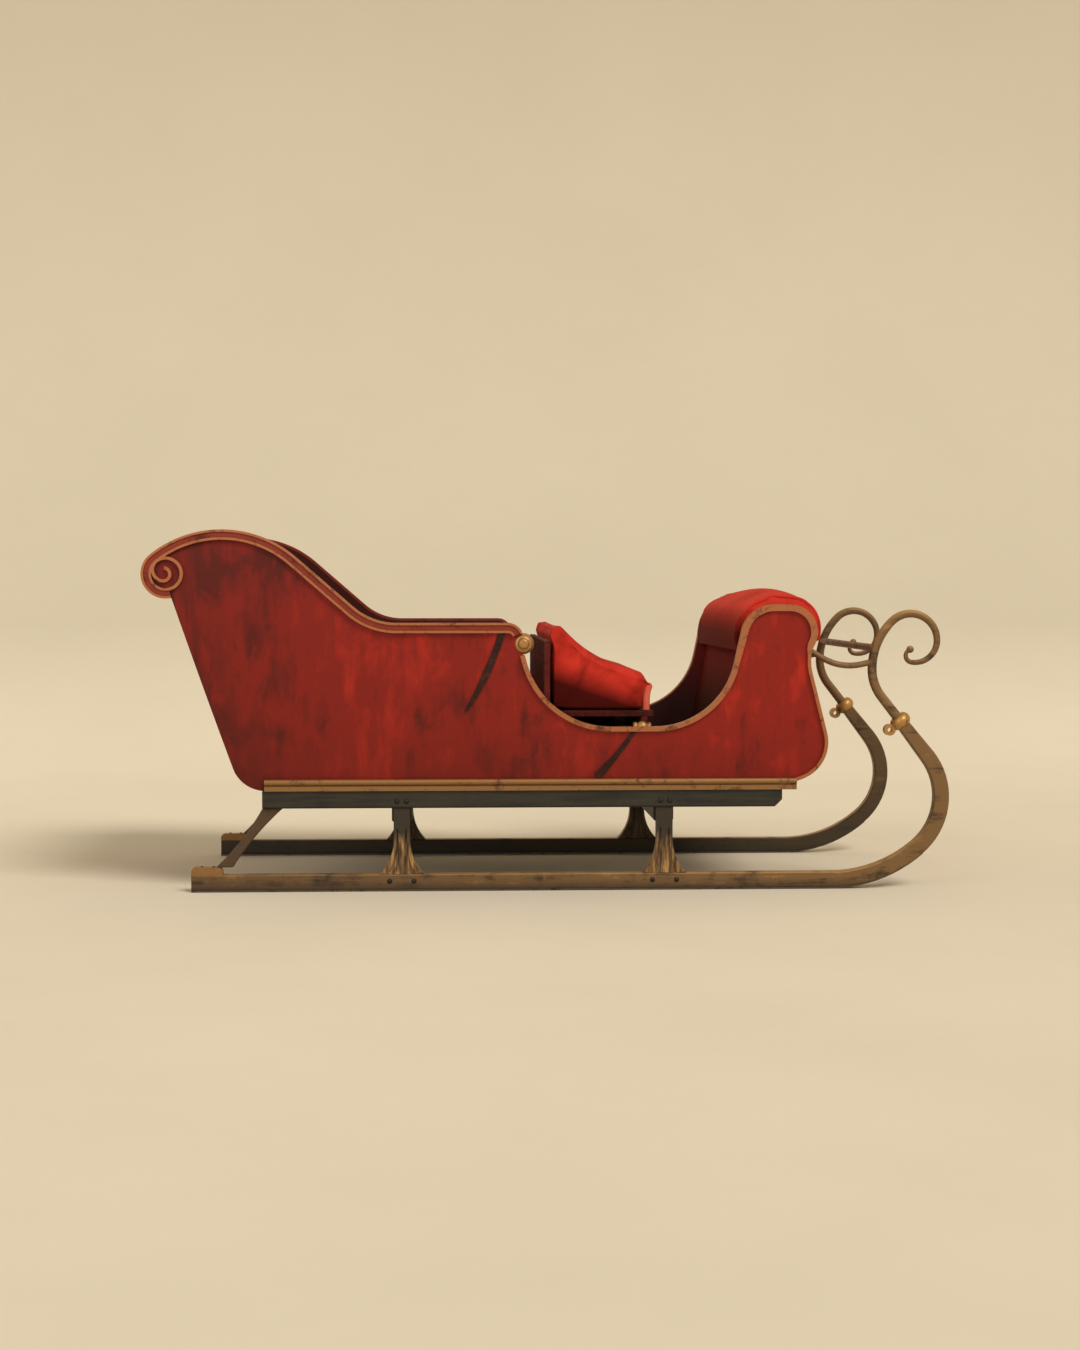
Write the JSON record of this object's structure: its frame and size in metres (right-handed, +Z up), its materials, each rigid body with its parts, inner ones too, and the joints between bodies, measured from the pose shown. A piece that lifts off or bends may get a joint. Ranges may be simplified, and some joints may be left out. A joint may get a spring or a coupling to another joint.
{
  "type": "horse drawn sleigh",
  "caption": "Red open sleigh with a high scrolled back, low dip and padded dash on bent runners whose tips curl into scrolls; benches inside, eyes for draft shafts.",
  "frame": {"origin": "on the ground, in the middle of the length and width", "axes": "+X forward, the way the sleigh is drawn; +Y to the left; +Z up"},
  "size_m": [2.3871, 1.074, 1.068],
  "materials": {
    "body_red": "satin paint, mottled",
    "trim_gold": "aged gilt",
    "rail_copper": "red paint rubbed to gilt",
    "runner_bronze": "worn gilt over dark paint",
    "rail_dark": "dark satin paint",
    "iron_dark": "blackened",
    "steel_shoe": "worn",
    "brass_fitting": "polished",
    "floor_wood": "stained",
    "lining_maroon": "dark satin paint",
    "cushion_red": "buttoned leather"
  },
  "bodies": {
    "root": {"arm_beads_left": "trim_gold", "arm_beads_right": "trim_gold", "arm_knob_left": "brass_fitting", "arm_knob_right": "brass_fitting", "arm_rail_left": "rail_copper", "arm_rail_right": "rail_copper", "back_panel": "body_red", "bed_rail_left": "rail_dark", "bed_rail_right": "rail_dark", "crest_roll": "body_red", "cross_beam_front": "rail_dark", "cross_beam_rear": "rail_dark", "cross_rod": "iron_dark", "dash_bead_left": "trim_gold", "dash_bead_right": "trim_gold", "dash_bolster": "cushion_red", "dash_lining": "lining_maroon", "dash_panel": "body_red", "dash_stay_left": "iron_dark", "dash_stay_right": "iron_dark", "floor_boards": "floor_wood", "front_seat_back": "lining_maroon", "front_seat_cushion": "cushion_red", "front_seat_plank": "lining_maroon", "front_seat_riser": "lining_maroon", "knee_front_left": "runner_bronze", "knee_front_right": "runner_bronze", "knee_rear_left": "runner_bronze", "knee_rear_right": "runner_bronze", "rear_back_cushion": "cushion_red", "rear_seat_cushion": "cushion_red", "rear_seat_plank": "lining_maroon", "rear_seat_riser": "lining_maroon", "rear_stay_left": "iron_dark", "rear_stay_right": "iron_dark", "rim_boss_left": "brass_fitting", "rim_boss_right": "brass_fitting", "runner_left": "runner_bronze", "runner_right": "runner_bronze", "runner_scroll_left": "runner_bronze", "runner_scroll_right": "runner_bronze", "runner_shoe_left": "steel_shoe", "runner_shoe_right": "steel_shoe", "shaft_collar_left": "brass_fitting", "shaft_collar_right": "brass_fitting", "side_panel_left": "body_red", "side_panel_right": "body_red", "side_straps_left": "iron_dark", "side_straps_right": "iron_dark", "sill_moulding_left": "trim_gold", "sill_moulding_right": "trim_gold", "tail_cap_left": "trim_gold", "tail_cap_right": "trim_gold"}
  },
  "joints": []
}
